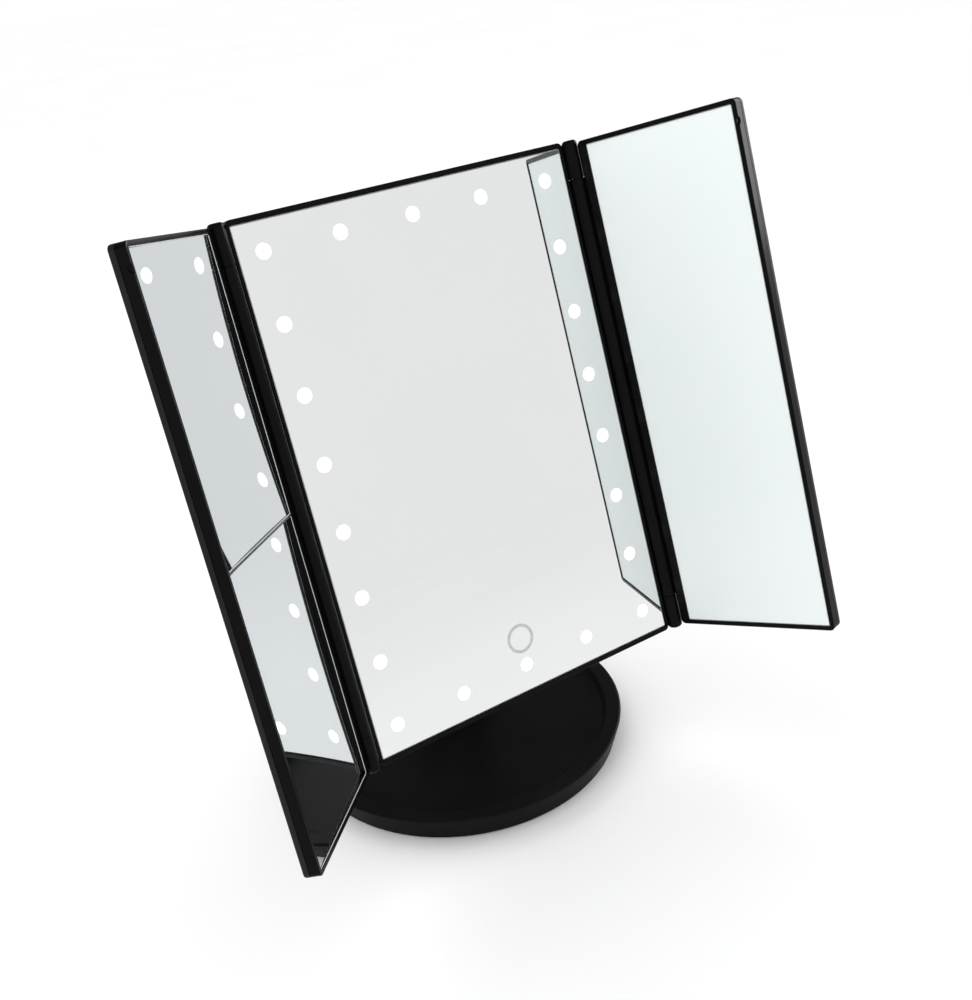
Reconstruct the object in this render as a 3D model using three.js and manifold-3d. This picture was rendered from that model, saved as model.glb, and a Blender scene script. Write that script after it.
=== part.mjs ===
// A tri-fold make-up mirror with a lighted centre panel, on a dished base.
//
// Units are millimetres. +Z is up, the mirror faces -Y and +X is to its right as the user sees it.
// The origin is the middle of the base's underside, on the table.
//
// Two local frames are used. The head's frame has its origin at the middle of the centre glass, on
// the front face: x to the right, y up the panel, z out towards the user. A wing's frame has its
// origin on its hinge axis: x away from the hinge, y up the wing, z out of the mirror.
import * as THREE from "three";
import { mergeVertices } from "three/addons/utils/BufferGeometryUtils.js";
import Module from "manifold-3d";

const wasm = await Module();
wasm.setup();

const radians = THREE.MathUtils.degToRad;

// ---------------------------------------------------------------- driving dimensions

// Pose at rest
const LEAN = radians(14.6); // how far the head leans back from vertical
const HEAD_CENTRE_Y = -50.2; // middle of the centre glass
const HEAD_CENTRE_Z = 193;
const RIGHT_FOLD = radians(71); // each wing's angle forward of the centre panel's plane
const LEFT_FOLD = radians(51.5);

// Joint clearance between neighbouring pieces
const GAP = 0.3;

// Centre panel
const GLASS_HALF_W = 84.3; // the part of the glass that shows inside the bezel
const GLASS_HALF_H = 123;
const GLASS_T = 2;
const GLASS_TUCK = 0.4; // how far the glass runs under the bezel
const BEZEL_PROUD = 0.6; // bezel face in front of the glass
const FRAME_HALF_W = 85.9;
const FRAME_HALF_H = 125.5;
const FRAME_BACK_Z = -4;
const COVER_HALF_W = 88.5;
const COVER_BACK_Z = -14;
const WALL = 2;

// Lights behind the centre glass
const LIGHTS_ACROSS = 5;
const LIGHTS_DOWN = 8;
const LIGHT_HALF_W = 72.5; // half the distance between the outer columns of lights
const LIGHT_HALF_H = 110;
const LIGHT_WINDOW_R = 3.7;
const LIGHT_STRIP_HALF = 6.5; // half the width of the strip that carries the lights
const TOUCH_Y = -96.3; // middle of the touch ring

// Wing hinges
const HINGE_X = 90;
const HINGE_Z = 0.8;
const BARREL_R = 3.7;
const BARREL_HALF = 107.2; // half the length of a wing's barrel
const PIN_R = 1.25;
const PIN_BORE_R = 1.6;
const PIN_INNER_Y = 95;
const PIN_OUTER_Y = 123.4;

// Wings
const WING_INNER_X = 4.7;
const WING_OUTER_X = 89.3;
const WING_HALF_H = 124;
const WING_FRONT_Z = -0.4;
const WING_SPLIT_Z = -4.6; // seam between a wing's frame and its back cover
const WING_BACK_Z = -7.6;
const WING_GLASS_X = [8.7, 87.1]; // the part of the mirror that shows
const WING_GLASS_HALF_H = 121.8;
const WING_GLASS_Z = -0.9;
const DIVIDER_Y = 1.4; // middle of the bar between the left wing's two mirrors
const DIVIDER_HALF = 0.8;
const UPPER_MIRROR_R = 1780; // radius of curvature of the stronger magnifying mirror
const LOWER_MIRROR_R = 2650;

// Base
const RIM_OUTER_R = 90;
const RIM_INNER_R = 81.5;
const BASE_BOTTOM_R = 86;
const BASE_H = 14.5;
const FLOOR_TOP_Z = 8.5;
const FLOOR_BOTTOM_Z = 6.3;
const BASE_SKIRT_Z = 0.4; // underside of the skirt, above the table
const PAD_R = 81;
const PAD_T = 0.9;
const BASE_SCREW_RING_R = 72;

// Neck and tilt pivot
const NECK_FOOT_Y = 12;
const PIVOT_Y = -12; // in the head's frame
const PIVOT_Z = -44;
const PIVOT_R = 9.5;
const BLOCK_HALF = 16.5;
const SHAFT_R = 3;
const SHELL_T = 2;

// Battery box on the back of the head, in the head's frame
const BOX_HALF_W = 37;
const BOX_TOP_Y = -36;
const BOX_BOTTOM_Y = -112;
const BOX_BACK_Z = -31.5;
const CELL_R = 7;
const CELL_PITCH = 14.4;
const CELL_Z = -21.5;
const CELL_BOTTOM_Y = -98;
const CELL_LENGTH = 49;
const DOOR_HALF_W = 33;
const DOOR_TOP_Y = -39;
const DOOR_TONGUE = 1.5; // how far the door's edges run into their grooves

// ---------------------------------------------------------------- materials

const finish = (color, roughness, metalness = 0, extra = {}) =>
  new THREE.MeshStandardMaterial({ color, roughness, metalness, ...extra });
const blackPlastic = () => finish(0x151515, 0.35);
const textured = () => finish(0x1c1c1c, 0.6);
const mirror = () => finish(0xe8ecee, 0.03, 1);
const steel = () => finish(0x9a9da0, 0.35, 1);
const rubber = () => finish(0x202020, 0.9);
const frosted = () => finish(0xfffdf6, 0.5, 0, { emissive: 0xfff6e6, emissiveIntensity: 1 });
const circuit = () => finish(0x1d4a2c, 0.5);

// ---------------------------------------------------------------- solid building

// A closed three.js geometry as a solid that can be joined and cut.
function solid(geometry) {
  geometry.deleteAttribute("normal");
  geometry.deleteAttribute("uv");
  const merged = mergeVertices(geometry, 1e-4);
  return new wasm.Manifold(
    new wasm.Mesh({
      numProp: 3,
      vertProperties: merged.attributes.position.array,
      triVerts: new Uint32Array(merged.index.array),
    }),
  );
}

function geometryOf(body) {
  const made = body.getMesh();
  const geometry = new THREE.BufferGeometry();
  geometry.setAttribute("position", new THREE.BufferAttribute(made.vertProperties, 3));
  geometry.setIndex(new THREE.BufferAttribute(made.triVerts, 1));
  geometry.computeVertexNormals();
  return geometry;
}

function addPiece(group, name, body, material) {
  const mesh = new THREE.Mesh(geometryOf(body), material);
  mesh.name = name;
  group.add(mesh);
  return mesh;
}

function block([x0, x1], [y0, y1], [z0, z1]) {
  const box = new THREE.BoxGeometry(x1 - x0, y1 - y0, z1 - z0);
  return solid(box.translate((x0 + x1) / 2, (y0 + y1) / 2, (z0 + z1) / 2));
}

// A plate with rounded corners, lying across z.
function plate([x0, x1], [y0, y1], [z0, z1], radius, curveSegments = 4) {
  const s = new THREE.Shape();
  s.moveTo(x0 + radius, y0);
  s.lineTo(x1 - radius, y0);
  s.absarc(x1 - radius, y0 + radius, radius, -Math.PI / 2, 0);
  s.lineTo(x1, y1 - radius);
  s.absarc(x1 - radius, y1 - radius, radius, 0, Math.PI / 2);
  s.lineTo(x0 + radius, y1);
  s.absarc(x0 + radius, y1 - radius, radius, Math.PI / 2, Math.PI);
  s.lineTo(x0, y0 + radius);
  s.absarc(x0 + radius, y0 + radius, radius, Math.PI, 1.5 * Math.PI);
  const depth = z1 - z0;
  const extruded = new THREE.ExtrudeGeometry(s, { depth, bevelEnabled: false, curveSegments });
  return solid(extruded.translate(0, 0, z0));
}

// A round rod from a to b along an axis, at the place (u, v) on the other two axes in x, y, z order.
function rod(axis, radius, [a, b], [u, v], sides = 16) {
  const cylinder = new THREE.CylinderGeometry(radius, radius, b - a, sides);
  const middle = (a + b) / 2;
  if (axis === "x") return solid(cylinder.rotateZ(-Math.PI / 2).translate(middle, u, v));
  if (axis === "y") return solid(cylinder.translate(u, middle, v));
  return solid(cylinder.rotateX(Math.PI / 2).translate(u, v, middle));
}

// A turned solid about the z axis. The profile is [radius, z] points from the axis back to the axis,
// anticlockwise when the radius is drawn to the right.
function turned(profile, segments) {
  const points = profile.map(([r, z]) => new THREE.Vector2(r, z));
  return solid(new THREE.LatheGeometry(points, segments).rotateX(Math.PI / 2));
}

// A solid through a row of sections. Each section has the same number of points, anticlockwise as
// seen against the direction that the row runs in.
function loft(sections) {
  const count = sections[0].points.length;
  const vertices = [];
  const triangles = [];
  for (const section of sections) for (const p of section.points) vertices.push(p.x, p.y, p.z);
  for (let i = 0; i + 1 < sections.length; i += 1) {
    for (let j = 0; j < count; j += 1) {
      const next = (j + 1) % count;
      const low = i * count;
      const high = low + count;
      triangles.push(low + j, low + next, high + next, low + j, high + next, high + j);
    }
  }
  const outline = sections[0].outline;
  const last = (sections.length - 1) * count;
  for (const [a, b, c] of THREE.ShapeUtils.triangulateShape(outline, [])) {
    triangles.push(a, c, b, last + a, last + b, last + c);
  }
  const geometry = new THREE.BufferGeometry();
  geometry.setAttribute("position", new THREE.Float32BufferAttribute(vertices, 3));
  geometry.setIndex(triangles);
  return solid(geometry);
}

const joined = (bodies) => bodies.reduce((all, one) => all.add(one));
const cutFrom = (body, tools) => tools.reduce((left, tool) => left.subtract(tool), body);
const mirrored = (places) => places.flatMap(([x, y]) => [[x, y], [-x, y]]);

// A pan-head screw along z: the head at headZ, the shank running to tipZ.
function screw([x, y], [headZ, seatZ, tipZ], shankR, headR) {
  const ordered = (a, b) => [Math.min(a, b), Math.max(a, b)];
  const head = rod("z", headR, ordered(headZ, seatZ), [x, y], 12);
  const shank = rod("z", shankR, ordered(headZ, tipZ), [x, y], 8);
  return head.add(shank);
}

// ---------------------------------------------------------------- base

const BOTTOM_PLATE_Z = [PAD_T + GAP, PAD_T + GAP + 1.5];
const BALLAST_Z = [BOTTOM_PLATE_Z[1] + GAP, FLOOR_BOTTOM_Z - GAP];
const baseScrews = [45, 135, 225, 315].map((a) => [
  BASE_SCREW_RING_R * Math.cos(radians(a)),
  BASE_SCREW_RING_R * Math.sin(radians(a)),
]);
const neckScrews = [[-9, NECK_FOOT_Y], [9, NECK_FOOT_Y]];

function baseTray() {
  const skirtT = 2.2;
  const rimUnderZ = BASE_H - 2.1;
  const dish = turned(
    [
      [0, FLOOR_BOTTOM_Z],
      [RIM_INNER_R - 2, FLOOR_BOTTOM_Z],
      [RIM_INNER_R + 1.8, rimUnderZ],
      [RIM_OUTER_R - skirtT - 0.6, rimUnderZ],
      [BASE_BOTTOM_R - skirtT, BASE_SKIRT_Z],
      [BASE_BOTTOM_R, BASE_SKIRT_Z],
      [RIM_OUTER_R, BASE_H - 0.9],
      [RIM_OUTER_R - 0.9, BASE_H],
      [RIM_INNER_R + 0.8, BASE_H],
      [RIM_INNER_R, BASE_H - 0.8],
      [RIM_INNER_R - 0.8, BASE_H - 3.4],
      [RIM_INNER_R - 2, BASE_H - 5],
      [RIM_INNER_R - 4.2, FLOOR_TOP_Z],
      [0, FLOOR_TOP_Z],
    ],
    56,
  );
  const bosses = baseScrews.map((at) => rod("z", 3.4, [BALLAST_Z[0], FLOOR_BOTTOM_Z + 0.5], at, 10));
  const pilots = baseScrews.map((at) => rod("z", 1.6, [BALLAST_Z[0] - 1, FLOOR_TOP_Z - 1], at, 8));
  const neckHoles = neckScrews.map((at) => rod("z", 2, [FLOOR_BOTTOM_Z - 1, FLOOR_TOP_Z + 1], at, 10));
  return cutFrom(joined([dish, ...bosses]), [...pilots, ...neckHoles]);
}

function baseBottomPlate() {
  const disc = rod("z", BASE_BOTTOM_R - 2.7, BOTTOM_PLATE_Z, [0, 0], 48);
  const holes = baseScrews.map((at) => rod("z", 1.6, [0, BALLAST_Z[1]], at, 10));
  const sinks = baseScrews.map((at) => rod("z", 3.2, [0, BOTTOM_PLATE_Z[0] + 0.9], at, 12));
  return cutFrom(disc, [...holes, ...sinks]);
}

function baseBallast() {
  const disc = rod("z", BASE_SCREW_RING_R - 7, BALLAST_Z, [0, 0], 48);
  const clearances = neckScrews.map((at) => rod("z", 4, [0, FLOOR_TOP_Z], at, 16));
  return cutFrom(disc, clearances);
}

function addBase(group) {
  addPiece(group, "base_tray", baseTray(), blackPlastic());
  addPiece(group, "base_bottom_plate", baseBottomPlate(), textured());
  addPiece(group, "base_ballast", baseBallast(), steel());
  addPiece(group, "base_grip_pad", rod("z", PAD_R, [0, PAD_T], [0, 0], 48), rubber());
  baseScrews.forEach((at, i) => {
    const headZ = BOTTOM_PLATE_Z[0];
    const body = screw(at, [headZ, headZ + 0.6, FLOOR_BOTTOM_Z], 1.25, 2.7);
    addPiece(group, `base_screw_${i + 1}`, body, steel());
  });
}

// ---------------------------------------------------------------- neck

// The tilt pivot in the object's own frame.
const pivot = {
  y: HEAD_CENTRE_Y + PIVOT_Y * Math.sin(LEAN) - PIVOT_Z * Math.cos(LEAN),
  z: HEAD_CENTRE_Z + PIVOT_Y * Math.cos(LEAN) + PIVOT_Z * Math.sin(LEAN),
};
const NECK_TOP_LEAN = radians(15);
const NECK_START_Z = FLOOR_TOP_Z + GAP;
const alongNeckTop = (distance) => ({
  y: pivot.y + distance * Math.sin(NECK_TOP_LEAN),
  z: pivot.z - distance * Math.cos(NECK_TOP_LEAN),
});
const neckTop = alongNeckTop(PIVOT_R + 0.8);
const neckBend = alongNeckTop(PIVOT_R + 46);
const neckPath = new THREE.CubicBezierCurve3(
  new THREE.Vector3(0, NECK_FOOT_Y, NECK_START_Z),
  new THREE.Vector3(0, NECK_FOOT_Y, 76),
  new THREE.Vector3(0, neckBend.y, neckBend.z),
  new THREE.Vector3(0, neckTop.y, neckTop.z),
);

// Half width and half depth of the neck at a share t of the way up: it flares at the foot.
function neckSize(t) {
  const flare = Math.max(0, 1 - t / 0.16) ** 2;
  return { half: 20.5 - 4 * t + 3.5 * flare, depth: 10.5 - 2.5 * t + 4 * flare };
}

// A rounded-rectangle half ring, as a closed outline; side -1 is the front half and 1 the rear half.
function halfRing({ half, depth }, side) {
  const steps = 10;
  const power = 0.5;
  const at = (a, b, angle) => {
    const c = Math.cos(angle);
    const s = Math.sin(angle);
    return new THREE.Vector2(
      a * Math.sign(c) * Math.abs(c) ** power,
      side * (b * Math.abs(s) ** power + GAP / 2),
    );
  };
  const outer = [];
  const inner = [];
  for (let i = 0; i <= steps; i += 1) {
    const angle = (Math.PI * i) / steps;
    outer.push(at(half, depth, angle));
    inner.push(at(half - SHELL_T, depth - SHELL_T, angle));
  }
  const outline = [...outer, ...inner.reverse()];
  return THREE.ShapeUtils.area(outline) > 0 ? outline : outline.reverse();
}

// Stands an outline of the neck's section across its path.
function neckSection(outline, t) {
  const centre = neckPath.getPoint(t);
  const tangent = neckPath.getTangent(t);
  const points = outline.map(
    (p) => new THREE.Vector3(p.x, centre.y + p.y * tangent.z, centre.z - p.y * tangent.y),
  );
  return { outline, points };
}

const NECK_STATIONS = [0, 0.04, 0.09, 0.16, 0.3, 0.45, 0.6, 0.75, 0.88, 1];

function neckShell(side) {
  return loft(NECK_STATIONS.map((t) => neckSection(halfRing(neckSize(t), side), t)));
}

function neckFrontShell() {
  const foot = block([-16, 16], [NECK_FOOT_Y - 13, NECK_FOOT_Y + 7], [NECK_START_Z, NECK_START_Z + 8]);
  const pilots = neckScrews.map((at) => rod("z", 1.7, [0, NECK_START_Z + 6], at, 12));
  return cutFrom(neckShell(-1).add(foot), pilots);
}

function neckCoreStrip() {
  const outline = [[-8, -1.5], [8, -1.5], [8, 1.5], [-8, 1.5]].map(([x, y]) => new THREE.Vector2(x, y));
  return loft([0.1, 0.3, 0.45, 0.6, 0.7, 0.8].map((t) => neckSection(outline, t)));
}

function neckPivotBlock() {
  const tongue = new THREE.BoxGeometry(24, 8, 26).translate(0, 0, -15);
  tongue.rotateX(NECK_TOP_LEAN).translate(0, pivot.y, pivot.z);
  const barrel = rod("x", PIVOT_R, [-BLOCK_HALF, BLOCK_HALF], [pivot.y, pivot.z], 24);
  const bore = rod("x", SHAFT_R + 0.35, [-BLOCK_HALF - 1, BLOCK_HALF + 1], [pivot.y, pivot.z], 20);
  return barrel.add(solid(tongue)).subtract(bore);
}

function addNeck(group) {
  addPiece(group, "neck_front_shell", neckFrontShell(), blackPlastic());
  addPiece(group, "neck_rear_shell", neckShell(1), blackPlastic());
  addPiece(group, "neck_core_strip", neckCoreStrip(), steel());
  addPiece(group, "neck_pivot_block", neckPivotBlock(), blackPlastic());
  neckScrews.forEach((at, i) => {
    const body = screw(at, [BALLAST_Z[0] + 0.3, FLOOR_BOTTOM_Z - GAP, NECK_START_Z + 5], 1.35, 3.2);
    addPiece(group, `neck_screw_${i + 1}`, body, steel());
  });
}

// ---------------------------------------------------------------- tilt pivot (head's frame)

const LUG_X = [BLOCK_HALF + 1.4, BLOCK_HALF + 5.4];
const BRACKET_PLATE_Z = [COVER_BACK_Z - GAP - 3, COVER_BACK_Z - GAP];
const bracketScrews = mirrored([[11, PIVOT_Y + 8], [11, PIVOT_Y - 8]]);
const sided = (side, [a, b]) => (side > 0 ? [a, b] : [-b, -a]);

function tiltBracket() {
  const foot = plate([-27, 27], [PIVOT_Y - 14, PIVOT_Y + 14], BRACKET_PLATE_Z, 4);
  const lugs = [-1, 1].flatMap((side) => [
    block(sided(side, LUG_X), [PIVOT_Y - PIVOT_R, PIVOT_Y + PIVOT_R], [PIVOT_Z, BRACKET_PLATE_Z[1]]),
    rod("x", PIVOT_R, sided(side, LUG_X), [PIVOT_Y, PIVOT_Z], 24),
  ]);
  const holes = bracketScrews.map((at) => rod("z", 1.8, [-20, COVER_BACK_Z], at, 12));
  return cutFrom(joined([foot, ...lugs]), [shaftBore(), ...holes]);
}

const shaftBore = () => rod("x", SHAFT_R + 0.35, [-40, 40], [PIVOT_Y, PIVOT_Z]);

function frictionWasher(side) {
  const span = sided(side, [BLOCK_HALF + GAP, LUG_X[0] - GAP]);
  return rod("x", 8, span, [PIVOT_Y, PIVOT_Z]).subtract(shaftBore());
}

function pivotCap(side) {
  const start = LUG_X[1] + GAP;
  const shell = rod("x", 8.6, sided(side, [start, start + 7.2]), [PIVOT_Y, PIVOT_Z], 24);
  return shell.subtract(rod("x", 7.4, sided(side, [start - 1, start + 5.9]), [PIVOT_Y, PIVOT_Z], 24));
}

function addTiltPivot(group) {
  const seat = LUG_X[1] + GAP;
  const at = [PIVOT_Y, PIVOT_Z];
  const shaft = rod("x", SHAFT_R, [-seat - 4.8, seat], at).add(rod("x", 5.5, [seat, seat + 3], at, 6));
  const discSpring = rod("x", 6.2, [-seat - 0.9, -seat], at).subtract(shaftBore());
  const nut = rod("x", 6, [-seat - 4.4, -seat - 1.2], at, 6).subtract(shaftBore());
  addPiece(group, "tilt_bracket", tiltBracket(), blackPlastic());
  addPiece(group, "tilt_shaft", shaft, steel());
  addPiece(group, "tilt_disc_spring", discSpring, steel());
  addPiece(group, "tilt_nut", nut, steel());
  addPiece(group, "tilt_friction_washer_left", frictionWasher(-1), rubber());
  addPiece(group, "tilt_friction_washer_right", frictionWasher(1), rubber());
  addPiece(group, "pivot_cap_left", pivotCap(-1), blackPlastic());
  addPiece(group, "pivot_cap_right", pivotCap(1), blackPlastic());
  bracketScrews.forEach((place, i) => {
    const headZ = BRACKET_PLATE_Z[0] - GAP - 1.6;
    const body = screw(place, [headZ, headZ + 1.6, COVER_BACK_Z + 4], 1.3, 2.8);
    addPiece(group, `bracket_screw_${i + 1}`, body, steel());
  });
}

// ---------------------------------------------------------------- head

const caseScrews = mirrored([[82.2, 60], [82.2, -60]]);
const SWITCH = { x: 58, y: -88, travel: 3 };
const SOCKET = { x: 58, z: -9, halfW: 4.6, halfT: 1.7, depth: 7 };

// Middles of the lights: columns down both sides, rows between them along the top and bottom.
function lightPlaces() {
  const places = [];
  for (let i = 0; i < LIGHTS_ACROSS; i += 1) {
    const x = LIGHT_HALF_W * ((2 * i) / (LIGHTS_ACROSS - 1) - 1);
    places.push([x, LIGHT_HALF_H], [x, -LIGHT_HALF_H]);
  }
  for (let i = 1; i < LIGHTS_DOWN - 1; i += 1) {
    const y = LIGHT_HALF_H * ((2 * i) / (LIGHTS_DOWN - 1) - 1);
    places.push([-LIGHT_HALF_W, y], [LIGHT_HALF_W, y]);
  }
  return places;
}

// The rectangular strip behind the glass that follows the lights round.
function lightStrip(z) {
  const reach = (half, by) => [-half - by, half + by];
  const out = LIGHT_STRIP_HALF;
  const outer = plate(reach(LIGHT_HALF_W, out), reach(LIGHT_HALF_H, out), z, 3);
  const inner = plate(reach(LIGHT_HALF_W, -out), reach(LIGHT_HALF_H, -out), [z[0] - 1, z[1] + 1], 3);
  return outer.subtract(inner);
}

// A hinge knuckle on the centre frame, rounded at its outer end.
function knuckle(sideX, sideY) {
  const [start, end] = [BARREL_HALF + 0.4, FRAME_HALF_H];
  const round = turned(
    [
      [0, start],
      [BARREL_R, start],
      [BARREL_R, end - 2],
      [BARREL_R - 0.6, end - 0.6],
      [BARREL_R - 2, end],
      [0, end],
    ],
    14,
  );
  const upright = round.rotate([-90, 0, 0]);
  const placed = sideY > 0 ? upright : upright.mirror([0, 1, 0]);
  const web = block(
    sideX > 0 ? [FRAME_HALF_W - 1.2, HINGE_X] : [-HINGE_X, 1.2 - FRAME_HALF_W],
    sideY > 0 ? [start, end - 1.4] : [1.4 - end, -start],
    [HINGE_Z - BARREL_R + 0.4, BEZEL_PROUD],
  );
  const bore = rod(
    "y",
    PIN_BORE_R,
    sideY > 0 ? [start - 1, PIN_OUTER_Y + 0.4] : [-PIN_OUTER_Y - 0.4, 1 - start],
    [sideX * HINGE_X, HINGE_Z],
    12,
  );
  return { body: placed.translate([sideX * HINGE_X, 0, HINGE_Z]).add(web), bore };
}

function headFrontFrame() {
  const w = FRAME_HALF_W;
  const h = FRAME_HALF_H;
  const outer = plate([-w, w], [-h, h], [FRAME_BACK_Z, BEZEL_PROUD], 2.5);
  const window = plate(
    [-GLASS_HALF_W, GLASS_HALF_W], [-GLASS_HALF_H, GLASS_HALF_H], [FRAME_BACK_Z - 1, BEZEL_PROUD + 1], 1,
  );
  const pocketW = GLASS_HALF_W + GLASS_TUCK + GAP;
  const pocketH = GLASS_HALF_H + GLASS_TUCK + GAP;
  const pocket = plate([-pocketW, pocketW], [-pocketH, pocketH], [FRAME_BACK_Z - 1, GAP / 2], 1);
  const bosses = caseScrews.map((at) => rod("z", 3, [COVER_BACK_Z + WALL + GAP, -GLASS_T - GAP], at, 12));
  const pilots = caseScrews.map((at) => rod("z", 1.7, [COVER_BACK_Z, -6], at, 8));
  const knuckles = [-1, 1].flatMap((x) => [-1, 1].map((y) => knuckle(x, y)));
  const ring = cutFrom(outer, [window, pocket]);
  const body = joined([ring, ...bosses, ...knuckles.map((k) => k.body)]);
  return cutFrom(body, [...pilots, ...knuckles.map((k) => k.bore)]);
}

function headBackCover() {
  const w = COVER_HALF_W;
  const h = FRAME_HALF_H;
  const frontZ = FRAME_BACK_Z - GAP;
  const shell = plate([-w, w], [-h, h], [COVER_BACK_Z, frontZ], 6, 5);
  const hollow = plate([WALL - w, w - WALL], [WALL - h, h - WALL], [COVER_BACK_Z + WALL, 0], 4);
  const boxZ = [BOX_BACK_Z, COVER_BACK_Z + 1];
  const box = plate([-BOX_HALF_W, BOX_HALF_W], [BOX_BOTTOM_Y, BOX_TOP_Y], boxZ, 6, 5);
  const cells = plate([-31, 31], [-103.5, -42.5], [BOX_BACK_Z - 1, COVER_BACK_Z], 1);
  const doorY = [BOX_BOTTOM_Y - 18, DOOR_TOP_Y];
  const doorHalf = DOOR_HALF_W + GAP;
  const door = block([-doorHalf, doorHalf], doorY, [BOX_BACK_Z - 1, BOX_BACK_Z + 2]);
  const grooveHalf = doorHalf + DOOR_TONGUE;
  const groove = block([-grooveHalf, grooveHalf], doorY, [BOX_BACK_Z + 0.6, BOX_BACK_Z + 2]);
  const screwHoles = caseScrews.flatMap((at) => [
    rod("z", 1.9, [COVER_BACK_Z - 1, 0], at, 10),
    rod("z", 3.2, [COVER_BACK_Z - 1, COVER_BACK_Z + 1.2], at, 12),
  ]);
  const bracketHoles = bracketScrews.map((at) => rod("z", 1.7, [COVER_BACK_Z - 1, 0], at, 12));
  const switchSlot = block(
    [SWITCH.x - 2.4, SWITCH.x + 2.4],
    [SWITCH.y - 3.4, SWITCH.y + 3.4 + SWITCH.travel],
    [COVER_BACK_Z - 1, COVER_BACK_Z + WALL + 1],
  );
  const socketHole = plate(
    [SOCKET.x - SOCKET.halfW - GAP, SOCKET.x + SOCKET.halfW + GAP],
    [-h - 1, WALL - h + 1],
    [SOCKET.z - SOCKET.halfT - GAP, SOCKET.z + SOCKET.halfT + GAP],
    0.4,
    1,
  );
  const cuts = [hollow, cells, door, groove, ...screwHoles, ...bracketHoles, switchSlot, socketHole];
  return cutFrom(shell.add(box), cuts);
}

function centreMirror() {
  const w = GLASS_HALF_W + GLASS_TUCK;
  const h = GLASS_HALF_H + GLASS_TUCK;
  const sheet = plate([-w, w], [-h, h], [-GLASS_T, 0], 1, 2);
  const windows = lightPlaces().map((at) => rod("z", LIGHT_WINDOW_R, [-GLASS_T - 1, 1], at, 10));
  return cutFrom(sheet, windows);
}

function lightDiffuser() {
  const strip = lightStrip([-GLASS_T - GAP - 1, -GLASS_T - GAP]);
  const studs = lightPlaces().map((at) => rod("z", LIGHT_WINDOW_R - 0.4, [-GLASS_T - 1, -0.05], at, 10));
  return joined([strip, ...studs]);
}

function lightBoard() {
  const strip = lightStrip([-5.6, -4.6]);
  const chip = 1.6;
  const chipZ = [-4.7, -3.7];
  const chips = lightPlaces().map(([x, y]) => block([x - chip, x + chip], [y - chip, y + chip], chipZ));
  return joined([strip, ...chips]);
}

function usbSocket() {
  const { x, z, halfW, halfT, depth } = SOCKET;
  const mouth = 0.4 - FRAME_HALF_H;
  const shell = block([x - halfW, x + halfW], [mouth, mouth + depth], [z - halfT, z + halfT]);
  const wall = 0.4;
  const inside = block(
    [x - halfW + wall, x + halfW - wall],
    [mouth - 1, mouth + depth - 1],
    [z - halfT + wall, z + halfT - wall],
  );
  const tongue = block([x - 3, x + 3], [mouth + 1, mouth + depth - 0.5], [z - 0.35, z + 0.35]);
  return shell.subtract(inside).add(tongue);
}

function powerSwitchKnob() {
  const { x, y } = SWITCH;
  const stem = block([x - 2, x + 2], [y - 3, y + 3], [COVER_BACK_Z - 1.8, COVER_BACK_Z + WALL + 0.4]);
  const grips = [-1.4, 0, 1.4].map((dy) =>
    block([x - 2, x + 2], [y + dy - 0.3, y + dy + 0.3], [COVER_BACK_Z - 2.2, COVER_BACK_Z - 1.7]),
  );
  return joined([stem, ...grips]);
}

function batteryDoor() {
  const low = BOX_BOTTOM_Y;
  const high = DOOR_TOP_Y - GAP;
  const skin = block([-DOOR_HALF_W, DOOR_HALF_W], [low, high], [BOX_BACK_Z, BOX_BACK_Z + 1]);
  const tongueHalf = DOOR_HALF_W + DOOR_TONGUE;
  const tongue = block([-tongueHalf, tongueHalf], [low, high], [BOX_BACK_Z + 0.9, BOX_BACK_Z + 1.7]);
  const grips = [0, 1, 2, 3].map((i) =>
    block([-9, 9], [low + 6 + 2.4 * i, low + 7 + 2.4 * i], [BOX_BACK_Z - 0.5, BOX_BACK_Z + 0.5]),
  );
  return joined([skin, tongue, ...grips]);
}

function batteryCell(x) {
  const top = CELL_BOTTOM_Y + CELL_LENGTH;
  const can = rod("y", CELL_R, [CELL_BOTTOM_Y, top], [x, CELL_Z], 20);
  return can.add(rod("y", 2.7, [top, top + 1.2], [x, CELL_Z], 12));
}

function batteryContact([y0, y1]) {
  return plate([-28.5, 28.5], [CELL_Z - 5, CELL_Z + 5], [y0, y1], 2, 2).rotate([90, 0, 0]);
}

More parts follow.
